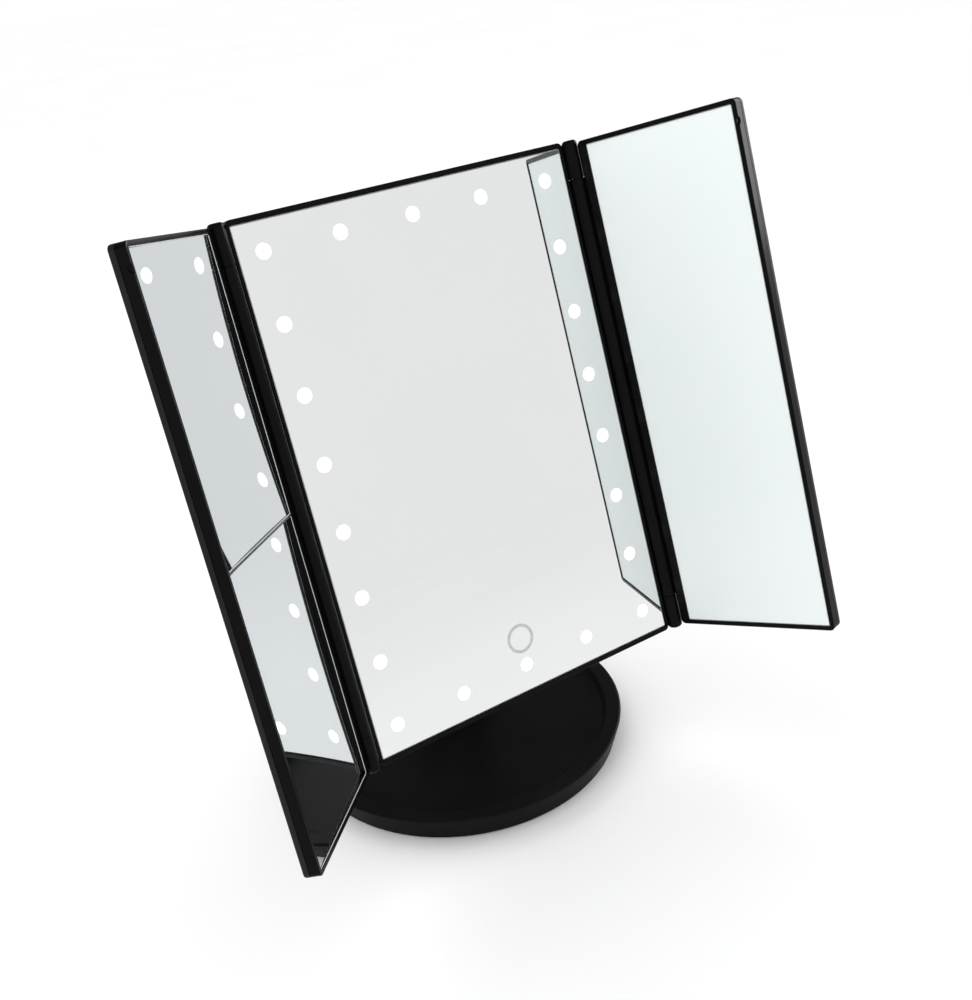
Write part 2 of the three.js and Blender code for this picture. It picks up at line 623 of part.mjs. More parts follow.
function addHead(group) {
  addPiece(group, "head_front_frame", headFrontFrame(), blackPlastic());
  addPiece(group, "head_back_cover", headBackCover(), textured());
  addPiece(group, "centre_mirror", centreMirror(), mirror());
  addPiece(group, "light_diffuser", lightDiffuser(), frosted());
  addPiece(group, "light_board", lightBoard(), circuit());
  addPiece(group, "touch_sensor_pad", rod("z", 6, [-3.2, -2.3], [0, TOUCH_Y], 24), steel());
  addPiece(group, "control_board", block([20, 70], [-84, -50], [-9.6, -8]), circuit());
  addPiece(group, "usb_socket", usbSocket(), steel());
  const { x, y } = SWITCH;
  addPiece(group, "power_switch_body", block([x - 4.5, x + 4.5], [y - 7, y + 9], [-11.2, -10]), textured());
  addPiece(group, "power_switch_knob", powerSwitchKnob(), blackPlastic());
  addPiece(group, "battery_door", batteryDoor(), textured());
  [-1.5, -0.5, 0.5, 1.5].forEach((place, i) => {
    addPiece(group, `battery_cell_${i + 1}`, batteryCell(place * CELL_PITCH), finish(0x3b5b4a, 0.4));
  });
  // The contact plates are drawn across z and turned upright, so their y span is written as -z.
  addPiece(group, "battery_contact_bottom", batteryContact([98.6, 99.4]), steel());
  addPiece(group, "battery_contact_top", batteryContact([46.4, 47.2]), steel());
  caseScrews.forEach((at, i) => {
    const body = screw(at, [COVER_BACK_Z, COVER_BACK_Z + 0.9, -7], 1.35, 2.7);
    addPiece(group, `case_screw_${i + 1}`, body, steel());
  });
  for (const [side, sideX] of [["left", -1], ["right", 1]]) {
    for (const [end, sideY] of [["top", 1], ["bottom", -1]]) {
      const span = sideY > 0 ? [PIN_INNER_Y, PIN_OUTER_Y] : [-PIN_OUTER_Y, -PIN_INNER_Y];
      const pin = rod("y", PIN_R, span, [sideX * HINGE_X, HINGE_Z], 12);
      addPiece(group, `hinge_pin_${side}_${end}`, pin, steel());
    }
  }
}

// ---------------------------------------------------------------- wings (right-hand shape)

function wingFrame(windows) {
  const h = WING_HALF_H;
  const outer = plate([WING_INNER_X, WING_OUTER_X], [-h, h], [WING_SPLIT_Z, WING_FRONT_Z], 2.5);
  const barrel = rod("y", BARREL_R, [-BARREL_HALF, BARREL_HALF], [0, 0], 18);
  const web = block([1, WING_INNER_X + 1], [-BARREL_HALF, BARREL_HALF], [-3.2, WING_FRONT_Z]);
  const pocket = block([7.9, 88.2], [-122.8, 122.8], [WING_SPLIT_Z - 1, WING_GLASS_Z + GAP / 2]);
  const notch = rod("x", 1.8, [WING_OUTER_X - 0.8, WING_OUTER_X + 1], [WING_HALF_H - 9.7, WING_FRONT_Z], 20);
  const bores = [-1, 1].map((side) => {
    const span = side > 0 ? [PIN_INNER_Y - 0.5, BARREL_HALF + 1] : [-BARREL_HALF - 1, 0.5 - PIN_INNER_Y];
    return rod("y", PIN_BORE_R, span, [0, 0], 12);
  });
  return cutFrom(joined([outer, barrel, web]), [pocket, notch, ...windows, ...bores]);
}

function wingWindow(y) {
  return plate(WING_GLASS_X, y, [WING_SPLIT_Z, 1], 0.8, 2);
}

function wingBackCover() {
  const h = WING_HALF_H;
  const frontZ = WING_SPLIT_Z - GAP;
  const shell = plate([WING_INNER_X, WING_OUTER_X], [-h, h], [WING_BACK_Z, frontZ], 2.5);
  const floor = WING_BACK_Z + 1.1;
  const wall = 1.3;
  const hollow = plate([WING_INNER_X + wall, WING_OUTER_X - wall], [wall - h, h - wall], [floor, 0], 1);
  return shell.subtract(hollow);
}

// A rectangular mirror blank with a hollow spherical face. Its corners are at faceZ.
function hollowMirror([x0, x1], [y0, y1], faceZ, backZ, radius) {
  const columns = 8;
  const rows = 10;
  const reach = ((x1 - x0) ** 2 + (y1 - y0) ** 2) / 4;
  const depth = (x, y) => {
    const fromAxis = (x - (x0 + x1) / 2) ** 2 + (y - (y0 + y1) / 2) ** 2;
    return Math.sqrt(radius ** 2 - fromAxis) - Math.sqrt(radius ** 2 - reach);
  };
  const blank = new THREE.BoxGeometry(x1 - x0, y1 - y0, 1, columns, rows, 1);
  blank.translate((x0 + x1) / 2, (y0 + y1) / 2, 0);
  const position = blank.attributes.position;
  for (let i = 0; i < position.count; i += 1) {
    const [x, y] = [position.getX(i), position.getY(i)];
    position.setZ(i, position.getZ(i) > 0 ? faceZ - depth(x, y) : backZ);
  }
  return solid(blank);
}

const WING_MIRROR_X = [8.2, 87.6];
const WING_MIRROR_HALF_H = 122.3;

function rightWingPieces() {
  const frame = wingFrame([wingWindow([-WING_GLASS_HALF_H, WING_GLASS_HALF_H])]);
  const h = WING_MIRROR_HALF_H;
  return [
    ["right_wing_frame", frame, blackPlastic()],
    ["right_wing_back_cover", wingBackCover(), textured()],
    ["right_wing_mirror", block(WING_MIRROR_X, [-h, h], [WING_GLASS_Z - 2, WING_GLASS_Z]), mirror()],
    ["right_wing_foam_pad", plate([14, 82], [-114, 114], [-6.2, -3.2], 3), rubber()],
  ];
}

function leftWingPieces() {
  const upper = [DIVIDER_Y + DIVIDER_HALF, WING_GLASS_HALF_H];
  const lower = [-WING_GLASS_HALF_H, DIVIDER_Y - DIVIDER_HALF];
  const divider = block(
    [WING_GLASS_X[0] - 1.5, WING_GLASS_X[1] + 1.5],
    [DIVIDER_Y - DIVIDER_HALF, DIVIDER_Y + DIVIDER_HALF],
    [WING_SPLIT_Z, WING_FRONT_Z - 0.2],
  );
  const frame = wingFrame([wingWindow([lower[0], upper[1]])]).add(divider);
  const upperY = [upper[0] + GAP, WING_MIRROR_HALF_H];
  const lowerY = [-WING_MIRROR_HALF_H, lower[1] - GAP];
  const backZ = WING_BACK_Z + 1.4;
  const blank = (y, radius) => hollowMirror(WING_MIRROR_X, y, WING_GLASS_Z, backZ, radius);
  return [
    ["left_wing_frame", frame, blackPlastic()],
    ["left_wing_back_cover", wingBackCover(), textured()],
    ["left_wing_upper_mirror", blank(upperY, UPPER_MIRROR_R), mirror()],
    ["left_wing_lower_mirror", blank(lowerY, LOWER_MIRROR_R), mirror()],
  ];
}

// Hangs a wing on its hinge: side 1 is the right wing, -1 the left, built as the right one's mirror image.
function addWing(group, pieces, side, fold) {
  const wing = new THREE.Group();
  wing.position.set(side * HINGE_X, 0, HINGE_Z);
  wing.rotation.y = -side * fold;
  for (const [name, body, material] of pieces) {
    addPiece(wing, name, side > 0 ? body : body.mirror([1, 0, 0]), material);
  }
  group.add(wing);
}

// ---------------------------------------------------------------- assembly

const vanityMirror = new THREE.Group();
addBase(vanityMirror);
addNeck(vanityMirror);

const head = new THREE.Group();
head.position.set(0, HEAD_CENTRE_Y, HEAD_CENTRE_Z);
head.rotation.x = Math.PI / 2 - LEAN;
addHead(head);
addTiltPivot(head);
addWing(head, rightWingPieces(), 1, RIGHT_FOLD);
addWing(head, leftWingPieces(), -1, LEFT_FOLD);
vanityMirror.add(head);

export default vanityMirror;
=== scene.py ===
import math

import bmesh
import bpy
from mathutils import Matrix, Quaternion, Vector


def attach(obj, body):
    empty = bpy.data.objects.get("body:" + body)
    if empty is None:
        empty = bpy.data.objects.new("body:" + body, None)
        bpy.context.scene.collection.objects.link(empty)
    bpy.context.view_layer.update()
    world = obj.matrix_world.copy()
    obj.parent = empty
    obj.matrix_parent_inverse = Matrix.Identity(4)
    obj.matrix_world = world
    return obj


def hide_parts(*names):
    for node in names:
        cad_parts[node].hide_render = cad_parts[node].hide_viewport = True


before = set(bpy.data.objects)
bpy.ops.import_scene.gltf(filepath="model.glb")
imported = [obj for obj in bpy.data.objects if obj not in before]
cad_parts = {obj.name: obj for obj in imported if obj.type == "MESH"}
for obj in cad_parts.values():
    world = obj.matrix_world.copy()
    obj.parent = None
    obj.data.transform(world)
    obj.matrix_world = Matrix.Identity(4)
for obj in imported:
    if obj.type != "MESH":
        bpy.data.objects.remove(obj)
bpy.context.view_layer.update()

# Lengths below are millimetres, as in the CAD source, and become metres when a mesh is made. The scales and
# heights in materials, the lamp and the camera are in metres.
MM = 0.001
scene = bpy.context.scene

# ------------------------------------------------------------ where things are

LEAN = math.radians(14.6)
HEAD_Y, HEAD_Z = -50.2, 193.0
HINGE_X, HINGE_Z = 90.0, 0.8
RIGHT_FOLD, LEFT_FOLD = math.radians(71), math.radians(51.5)

WORLD = Matrix.Identity(4)
HEAD = Matrix.Translation((0, HEAD_Y * MM, HEAD_Z * MM)) @ Matrix.Rotation(math.pi / 2 - LEAN, 4, "X")


def wing_place(side, fold):
    """A wing's frame. Its origin is on the hinge axis; the right wing reaches to +x, the left one to -x."""
    at = Matrix.Translation((side * HINGE_X * MM, 0, HINGE_Z * MM))
    return HEAD @ at @ Matrix.Rotation(-side * fold, 4, "Y")


RIGHT_WING = wing_place(1, RIGHT_FOLD)
LEFT_WING = wing_place(-1, LEFT_FOLD)

# ------------------------------------------------------------ dimensions that are the same in the CAD model

GLASS_W, GLASS_H = 84.3, 123.0
FRAME_W, FRAME_H = 85.9, 125.5
BEZEL_Z, FRAME_BACK_Z = 0.6, -4.0
COVER_W, COVER_BACK_Z, COVER_FRONT_Z = 88.5, -14.0, -4.3
BARREL_R, BARREL_HALF = 3.7, 107.2
LIGHT_R = 3.7
LIGHT_W, LIGHT_H = 72.5, 110.0
TOUCH_Y = -96.3
PIVOT_Y, PIVOT_Z, PIVOT_R = -12.0, -44.0, 9.5
BLOCK_HALF = 16.5
LUG_IN, LUG_OUT = 17.9, 21.9
BOX_W, BOX_TOP, BOX_LOW, BOX_BACK_Z = 37.0, -36.0, -112.0, -31.5
DOOR_W, DOOR_TOP = 33.0, -39.3
WING_X1, WING_H = 89.3, 124.0
WING_FRONT_Z, WING_SPLIT_Z, WING_BACK_Z = -0.4, -4.6, -7.6
WING_GLASS_X0, WING_GLASS_X1, WING_GLASS_H, WING_GLASS_Z = 8.7, 87.1, 121.8, -0.9
DIVIDER_Y = 1.4
UPPER_MIRROR_R, LOWER_MIRROR_R = 1780, 2650
CASE_SCREWS = [(82.2, 60), (-82.2, 60), (82.2, -60), (-82.2, -60)]
BRACKET_SCREWS = [(11, PIVOT_Y + 8), (-11, PIVOT_Y + 8), (11, PIVOT_Y - 8), (-11, PIVOT_Y - 8)]

# ------------------------------------------------------------ dimensions of the visual pieces only

# The wing's inner edge stands nearer the hinge than the CAD model's, and the divider is narrower.
WING_X0, DIVIDER_HALF = 3.95, 0.55
BEVEL_WIDE, BEVEL_DEEP, EDGE_WIDE = 0.95, 0.68, 0.3
UPPER_MIRROR_LEAN, LOWER_MIRROR_LEAN = 0.0038, 0.0151
BAND_WIDE, BAND_DROP, BAND_TUCK = 0.28, 0.26, 0.15
BAND_TOP_Z, BAND_LOW_Z = WING_GLASS_Z + 0.3, WING_GLASS_Z - 1.8
TOUCH_IN_R, TOUCH_OUT_R = 5.8, 7.3
EDGE_FILLET, HINGE_FILLET = 0.45, 0.4
LEAST_CORNER = 0.15
PIVOT_BORE_R, PIN_BORE_R = 3.35, 1.6
# A cutting rod reaches this far to each side, well past what it cuts.
CUT_REACH = 40

# ------------------------------------------------------------ solids as (points, faces)


def rounded(box, radius, z, arc=8):
    """A rounded rectangle at height z, anticlockwise."""
    x0, x1, y0, y1 = box
    corners = ((x1, y1, -1, -1, 0), (x0, y1, 1, -1, 90), (x0, y0, 1, 1, 180), (x1, y0, -1, 1, 270))
    points = []
    for cx, cy, dx, dy, start in corners:
        for i in range(arc + 1):
            a = math.radians(start + 90 * i / arc)
            x = cx + dx * radius + radius * math.cos(a)
            points.append((x, cy + dy * radius + radius * math.sin(a), z))
    return points


def inset(box, by):
    x0, x1, y0, y1 = box
    return (x0 + by, x1 - by, y0 + by, y1 - by)


def loft(loops, ring=False):
    """A solid through loops of equally many points, capped at both ends, or closed on itself as a ring."""
    n = len(loops[0])
    points = [p for loop in loops for p in loop]
    faces = []
    last = len(loops) if ring else len(loops) - 1
    for i in range(last):
        low, high = i * n, ((i + 1) % len(loops)) * n
        for j in range(n):
            k = (j + 1) % n
            faces.append((low + j, low + k, high + k, high + j))
    if not ring:
        faces.append(tuple(reversed(range(n))))
        faces.append(tuple(range((len(loops) - 1) * n, len(loops) * n)))
    return points, faces


def slab(box, radius, z0, z1, edge0=0.0, edge1=0.0, arc=8, steps=4):
    """A rounded plate from z0 to z1, with fillets edge0 and edge1 round its two faces."""
    loops = []
    for z, edge, inward in ((z0, edge0, 1), (z1, edge1, -1)):
        end = []
        for i in range(steps + 1 if edge else 1):
            a = math.pi / 2 * i / steps
            by = edge * (1 - math.sin(a))
            at = z + inward * edge * (1 - math.cos(a))
            end.append(rounded(inset(box, by), max(radius - by, LEAST_CORNER), at, arc))
        loops += end if inward > 0 else end[::-1]
    return loft(loops)


def filleted(corners, steps=4):
    """The polyline through (a, b, fillet radius) corners with its inner corners rounded."""
    out = [tuple(corners[0][:2])]
    for before, here, after in zip(corners, corners[1:], corners[2:]):
        p = Vector(here[:2])
        radius = here[2] if len(here) > 2 else 0
        if not radius:
            out.append(tuple(p))
            continue
        u, v = (Vector(before[:2]) - p), (Vector(after[:2]) - p)
        half = u.angle(v) / 2
        run = min(radius / math.tan(half), 0.49 * u.length, 0.49 * v.length)
        radius = run * math.tan(half)
        u.normalize()
        v.normalize()
        centre = p + (u + v).normalized() * (radius / math.sin(half))
        start, end = p + u * run - centre, p + v * run - centre
        for i in range(steps + 1):
            turn = start.lerp(end, i / steps).normalized() * radius
            out.append(tuple(centre + turn))
    out.append(tuple(corners[-1][:2]))
    return out


def turned(profile, sides=96, axis="z", at=(0, 0), ring=False):
    """A turned solid. The profile is (radius, height) points; it ends on the axis unless it is a ring."""
    def place(r, h, a):
        u, v = r * math.cos(a), r * math.sin(a)
        if axis == "z":
            return (at[0] + u, at[1] + v, h)
        if axis == "x":
            return (h, at[0] + u, at[1] + v)
        return (at[0] + v, h, at[1] + u)

    points, rows, faces = [], [], []
    for r, h in profile:
        if r < 1e-6:
            rows.append([len(points)] * sides)
            points.append(place(0, h, 0))
        else:
            rows.append(list(range(len(points), len(points) + sides)))
            points += [place(r, h, 2 * math.pi * j / sides) for j in range(sides)]
    pairs = list(zip(rows, rows[1:])) + ([(rows[-1], rows[0])] if ring else [])
    for low, high in pairs:
        for j in range(sides):
            k = (j + 1) % sides
            face = []
            for v in (low[j], low[k], high[k], high[j]):
                if v not in face:
                    face.append(v)
            if len(face) > 2:
                faces.append(tuple(face))
    return points, faces


def rod(radius, h0, h1, axis="z", at=(0, 0), sides=48, edge=0.0):
    corners = [(0, h0), (radius, h0, edge), (radius, h1, edge), (0, h1)]
    return turned(filleted(corners), sides, axis, at)


def moved(body, by, turn=None):
    points, faces = body
    turn = turn or Matrix.Identity(3)
    return [tuple(turn @ Vector(p) + Vector(by)) for p in points], faces


# ------------------------------------------------------------ meshes and objects

SMOOTH_ANGLE = math.radians(32)
# The bevel of a mirror is made of the faces whose normal has a z part between these.
BEVEL_NORMAL_LOW, BEVEL_NORMAL_HIGH = 0.5, 0.95


def fill_mesh(mesh, body, flip):
    points, faces = body
    side = -1 if flip else 1
    mesh.from_pydata([(side * x * MM, y * MM, z * MM) for x, y, z in points], [], faces)
    bm = bmesh.new()
    bm.from_mesh(mesh)
    bmesh.ops.recalc_face_normals(bm, faces=bm.faces)
    bm.to_mesh(mesh)
    bm.free()


def carved(base, tools, flip=False):
    """The base solid after (operation, solid) tools, as a mesh. Operations are UNION and DIFFERENCE."""
    mesh = bpy.data.meshes.new("carved")
    fill_mesh(mesh, base, flip)
    work = bpy.data.objects.new("carved", mesh)
    scene.collection.objects.link(work)
    spent = [work]
    for operation, body in tools:
        tool_mesh = bpy.data.meshes.new("tool")
        fill_mesh(tool_mesh, body, flip)
        tool = bpy.data.objects.new("tool", tool_mesh)
        scene.collection.objects.link(tool)
        spent.append(tool)
        modifier = work.modifiers.new("cut", "BOOLEAN")
        modifier.operation = operation
        modifier.object = tool
        modifier.solver = "EXACT"
    bpy.context.view_layer.update()
    made = bpy.data.meshes.new_from_object(work.evaluated_get(bpy.context.evaluated_depsgraph_get()))
    for obj in spent:
        bpy.data.objects.remove(obj)
    return made


def piece(name, body, place, rides_on, replaces, material, flip=False, weighted=True, baked=True,
          bevel=None, flat=False):
    """A finished piece of the object.

    The body is a solid, or a mesh that carved() made. The bevel is a second material, for a mirror's sloped
    edge, where it paints a bright highlight line. A baked piece has its place in its vertices, and one that
    isn't baked keeps its own frame, which its material is laid out in.
    """
    if isinstance(body, bpy.types.Mesh):
        mesh = body
        mesh.name = name
    else:
        mesh = bpy.data.meshes.new(name)
        fill_mesh(mesh, body, flip)
    if flat:
        mesh.shade_flat()
    else:
        mesh.shade_smooth()
        mesh.set_sharp_from_angle(angle=SMOOTH_ANGLE)
    mesh.materials.clear()
    mesh.materials.append(material)
    if bevel:
        mesh.materials.append(bevel)
        for face in mesh.polygons:
            face.material_index = int(BEVEL_NORMAL_LOW < face.normal.z < BEVEL_NORMAL_HIGH)
    obj = bpy.data.objects.new(name, mesh)
    scene.collection.objects.link(obj)
    if baked:
        mesh.transform(place)
    else:
        obj.matrix_world = place
    if weighted:
        even = obj.modifiers.new("even normals", "WEIGHTED_NORMAL")
        even.keep_sharp = True
        even.weight = 80
    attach(obj, rides_on)
    if replaces:
        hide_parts(*replaces)
    return obj


# ------------------------------------------------------------ materials


class Shader:
    """A procedural Principled material, built from a few kinds of variation in object coordinates."""

    def __init__(self, name, **sockets):
        self.material = bpy.data.materials.new(name)
        self.material.use_nodes = True
        self.nodes = self.material.node_tree.nodes
        self.links = self.material.node_tree.links
        self.surface = self.nodes["Principled BSDF"]
        self.coords = self.add("ShaderNodeTexCoord").outputs["Object"]
        self.bumps = []
        for socket, value in sockets.items():
            self.surface.inputs[socket.replace("_", " ")].default_value = value

    def add(self, kind, **settings):
        node = self.nodes.new(kind)
        for key, value in settings.items():
            setattr(node, key, value)
        return node

    def noise(self, scale, detail=3.0, stretch=None):
        source = self.coords
        if stretch:
            mapping = self.add("ShaderNodeMapping")
            mapping.inputs["Scale"].default_value = stretch
            self.links.new(source, mapping.inputs["Vector"])
            source = mapping.outputs["Vector"]
        node = self.add("ShaderNodeTexNoise")
        node.inputs["Scale"].default_value = scale
        node.inputs["Detail"].default_value = detail
        self.links.new(source, node.inputs["Vector"])
        return node.outputs["Fac"]

    def mix(self, factor, low, high, socket="Base Color", spread=(0.3, 0.7)):
        ramp = self.add("ShaderNodeValToRGB")
        ramp.color_ramp.elements[0].position, ramp.color_ramp.elements[1].position = spread
        ramp.color_ramp.elements[0].color = (*low, 1)
        ramp.color_ramp.elements[1].color = (*high, 1)
        self.links.new(factor, ramp.inputs["Fac"])
        self.links.new(ramp.outputs["Color"], self.surface.inputs[socket])

    def roughness(self, factor, low, high):
        node = self.add("ShaderNodeMapRange")
        node.inputs["From Min"].default_value = 0.25
        node.inputs["From Max"].default_value = 0.75
        node.inputs["To Min"].default_value = low
        node.inputs["To Max"].default_value = high
        self.links.new(factor, node.inputs["Value"])
        self.links.new(node.outputs["Result"], self.surface.inputs["Roughness"])

    def bump(self, factor, strength, height):
        node = self.add("ShaderNodeBump")
        node.inputs["Strength"].default_value = strength
        node.inputs["Distance"].default_value = height
        self.links.new(factor, node.inputs["Height"])
        if self.bumps:
            self.links.new(self.bumps[-1].outputs["Normal"], node.inputs["Normal"])
        self.bumps.append(node)
        self.links.new(node.outputs["Normal"], self.surface.inputs["Normal"])


def grey(value, tint=(1, 1, 1)):
    return tuple(value * t for t in tint)


def moulded(name, low, high, rough, grain, strength, specular):
    """A moulded surface: flow variation in its colour, rubbed patches, a fine grain and a faint waviness."""
    shader = Shader(name, Specular_IOR_Level=specular)
    shader.mix(shader.noise(scale=38, detail=4), low, high)
    shader.roughness(shader.noise(scale=52, detail=5, stretch=(1, 1, 3)), *rough)
    shader.bump(shader.noise(grain, detail=2), strength, height=0.00004)
    shader.bump(shader.noise(scale=55, detail=2), strength=0.03, height=0.0004)
    return shader.material


def metal(name, low, high, rough, stretch, strength=0.12):
    """Bright metal with drawn or turned marks along one direction."""
    shader = Shader(name, Metallic=1.0)
    shader.mix(shader.noise(160, 4), low, high)
    marks = shader.noise(700, 3, stretch)
    shader.roughness(marks, *rough)
    shader.bump(marks, strength, 0.00003)
    return shader.material


def mirror(name, low, high):
    """Silvering behind a polished sheet: very slight haze and colour drift, no grain."""
    shader = Shader(name, Metallic=1.0)
    shader.mix(shader.noise(14, 3), low, high)
    shader.roughness(shader.noise(30, 4), 0.004, 0.012)
    return shader.material


NYLON_TINT, JACKET_TINT, NICKEL_TINT, HIGHLIGHT_TINT = (1, 0.98, 0.92), (0.5, 1, 0.7), (1, 0.97, 0.9), (0.97, 1, 1)

gloss_black = moulded("gloss_black", grey(0.0018), grey(0.0030, (1.0, 0.97, 0.98)),
                      (0.15, 0.22), 2600, 0.08, 0.065)
bar_black = moulded("divider_black", grey(0.016), grey(0.026), (0.18, 0.26), 2600, 0.10, 0.45)
base_black = moulded("base_black", grey(0.0062), grey(0.0082), (0.28, 0.40), 3000, 0.14, 0.02)
satin_black = moulded("satin_black", grey(0.005), grey(0.009), (0.42, 0.56), 1700, 0.45, 0.20)
rubber = moulded("rubber", grey(0.016), grey(0.024), (0.72, 0.86), 1200, 0.50, 0.25)
nylon = moulded("friction_nylon", grey(0.40, NYLON_TINT), grey(0.52, NYLON_TINT),
                (0.4, 0.55), 1500, 0.2, 0.4)
jacket = moulded("battery_jacket", grey(0.05, JACKET_TINT), grey(0.09, JACKET_TINT),
                 (0.3, 0.4), 2000, 0.1, 0.5)
board = moulded("circuit_board", (0.008, 0.05, 0.018), (0.015, 0.085, 0.03), (0.3, 0.5), 900, 0.3, 0.5)
steel = metal("zinc_steel", grey(0.42), grey(0.56), (0.28, 0.42), (1, 1, 12))
nickel = metal("nickel_strip", grey(0.55, NICKEL_TINT), grey(0.68, NICKEL_TINT), (0.2, 0.34), (14, 1, 1))
copper = metal("copper_foil", (0.60, 0.28, 0.16), (0.74, 0.38, 0.24), (0.25, 0.4), (1, 9, 1))
silvered_glass = mirror("silvered_glass", (0.766, 0.782, 0.784), (0.778, 0.790, 0.792))
film = Shader("filmed_wing_glass", Metallic=0.08, Coat_Weight=0.05, Coat_Roughness=0.06,
              Specular_IOR_Level=0.4)
film.mix(film.noise(9, 3), (0.90, 0.955, 0.955), (0.915, 0.965, 0.965))
film.roughness(film.noise(26, 4), 0.30, 0.36)
film.bump(film.noise(9, 2), 0.05, 0.0005)
wing_glass = film.material
# Pale grey for the mirrors' sloped bevels: a painted highlight that draws the bright line along each mirror's
# edge as colour.
edge_highlight_paint = moulded("painted_edge_highlight", grey(0.56, HIGHLIGHT_TINT), grey(0.66, HIGHLIGHT_TINT),
                       (0.25, 0.4), 1800, 0.1, 0.5)
silvered_acrylic = mirror("silvered_acrylic", (0.800, 0.826, 0.842), (0.812, 0.836, 0.850))

light_shader = Shader("frosted_light", Emission_Strength=1.4, Specular_IOR_Level=0.3)
light_shader.mix(light_shader.noise(900, 2), (0.74, 0.76, 0.765), (0.79, 0.81, 0.815))
light_shader.roughness(light_shader.noise(1500), 0.42, 0.6)
light_shader.bump(light_shader.noise(2600, 2), 0.2, 0.00004)
# Each window glows most in its middle. The windows stand on a grid, so the distance to the nearest grid point
# is the distance to the middle of the window that a point belongs to.
PITCH_X, PITCH_Y = LIGHT_W / 2 * MM, LIGHT_H * 2 / 7 * MM
chain = light_shader.coords
GRID_STEPS = (("MULTIPLY", (1 / PITCH_X, 1 / PITCH_Y, 0)), ("ADD", (2.5, 4.0, 0.5)), ("FRACTION", None),
              ("SUBTRACT", (0.5, 0.5, 0.5)), ("MULTIPLY", (PITCH_X, PITCH_Y, 0)), ("LENGTH", None))
for operation, value in GRID_STEPS:
    step = light_shader.add("ShaderNodeVectorMath", operation=operation)
    light_shader.links.new(chain, step.inputs[0])
    if value:
        step.inputs[1].default_value = value
    chain = step.outputs["Value" if operation == "LENGTH" else "Vector"]
glow = light_shader.add("ShaderNodeMapRange", interpolation_type="SMOOTHSTEP")
for name, value in (("From Min", 0.0022), ("From Max", 0.0039), ("To Min", 1.0), ("To Max", 0.0)):
    glow.inputs[name].default_value = value
light_shader.links.new(chain, glow.inputs["Value"])
light_shader.mix(glow.outputs["Result"], (0.01, 0.01, 0.01), (1.0, 0.99, 0.97),
                 socket="Emission Color", spread=(0.0, 1.0))
frosted_light = light_shader.material

print_shader = Shader("touch_mark_print", Specular_IOR_Level=0.4)
print_shader.mix(print_shader.noise(800, 3), (0.44, 0.46, 0.46), (0.56, 0.58, 0.58))
print_shader.roughness(print_shader.noise(1200), 0.35, 0.55)
print_shader.bump(print_shader.noise(3000, 2), 0.2, 0.00002)
touch_print = print_shader.material

# ------------------------------------------------------------ base

NECK_FOOT_Y = 12.0

tray_profile = filleted([
    (0, 6.3), (79.5, 6.3, 0.5), (83.3, 12.4, 0.5), (87.2, 12.4, 0.5), (83.8, 0.4, 0.2), (86.0, 0.4, 0.5),
    (90.0, 13.6, 0.5), (89.1, 14.5, 0.9), (82.3, 14.5, 0.8), (81.5, 13.7, 0.6), (80.7, 11.1, 1.6),
    (79.6, 9.3, 1.4), (77.3, 8.5, 1.6), (70, 8.5), (50, 8.5), (25, 8.5), (0, 8.5),
], steps=5)
piece("base_dish", turned(tray_profile, 192), WORLD, "base", ["base_tray"], base_black)

plate_profile = filleted([(0, 1.2), (83.3, 1.2, 0.3), (83.3, 2.7, 0.2), (0, 2.7)])
piece("base_underplate", turned(plate_profile, 144), WORLD, "base", ["base_bottom_plate"],
      satin_black)

pad_corners = [(0, 0.9), (81, 0.9, 0.1), (81, 0.0, 0.35)]
for ring_r in (76, 74, 60, 58, 42, 40):
    pad_corners += [(ring_r + 0.6, 0.0, 0.1), (ring_r, 0.35, 0.2), (ring_r - 0.6, 0.0, 0.1)]
pad_corners.append((0, 0.0))
piece("base_foam_foot", turned(filleted(pad_corners, 3), 144), WORLD, "base", ["base_grip_pad"],
      rubber)

# ------------------------------------------------------------ neck

PIVOT_WORLD = HEAD @ Vector((0, PIVOT_Y * MM, PIVOT_Z * MM)) / MM
NECK_TOP_LEAN = math.radians(15)
NECK_START_Z = 8.8


def along_neck_top(distance):
    return Vector((0, PIVOT_WORLD.y + distance * math.sin(NECK_TOP_LEAN),
                   PIVOT_WORLD.z - distance * math.cos(NECK_TOP_LEAN)))


NECK_PATH = [Vector((0, NECK_FOOT_Y, NECK_START_Z)), Vector((0, NECK_FOOT_Y, 76)),
             along_neck_top(PIVOT_R + 46), along_neck_top(PIVOT_R + 0.8)]


def neck_point(t):
    a, b, c, d = NECK_PATH
    u = 1 - t
    at = a * u ** 3 + b * 3 * u * u * t + c * 3 * u * t * t + d * t ** 3
    along = (b - a) * u * u + (c - b) * 2 * u * t + (d - c) * t * t
    return at, along.normalized()


def neck_half(side, steps=28, stations=56):
    """One of the neck's two shells: the front one at side -1, the rear one at side 1."""
    loops = []
    for i in range(stations + 1):
        t = (i / stations) ** 1.35
        flare = max(0, 1 - t / 0.16) ** 2
        half, depth = 20.5 - 4 * t + 3.5 * flare, 10.5 - 2.5 * t + 4 * flare
        outline = []
        for wide, deep, order in ((half, depth, 1), (half - 2, depth - 2, -1)):
            arc = []
            for j in range(steps + 1):
                a = math.pi * j / steps
                c, s = math.cos(a), math.sin(a)
                arc.append((wide * math.copysign(abs(c) ** 0.5, c), side * (deep * abs(s) ** 0.5 + 0.15)))
            outline += arc[::order]
        at, along = neck_point(t)
        loops.append([(x, at.y + y * along.z, at.z - y * along.y) for x, y in outline])
    return loft(loops)


for side, shell in ((-1, "neck_front_shell"), (1, "neck_rear_shell")):
    obj = piece(shell.replace("_shell", "_cover"), neck_half(side), WORLD, "base", [shell],
                gloss_black)
    edge = obj.modifiers.new("softened edge", "BEVEL")
    edge.width, edge.segments, edge.limit_method, edge.angle_limit = 0.0004, 3, "ANGLE", math.radians(60)
    obj.modifiers.move(1, 0)

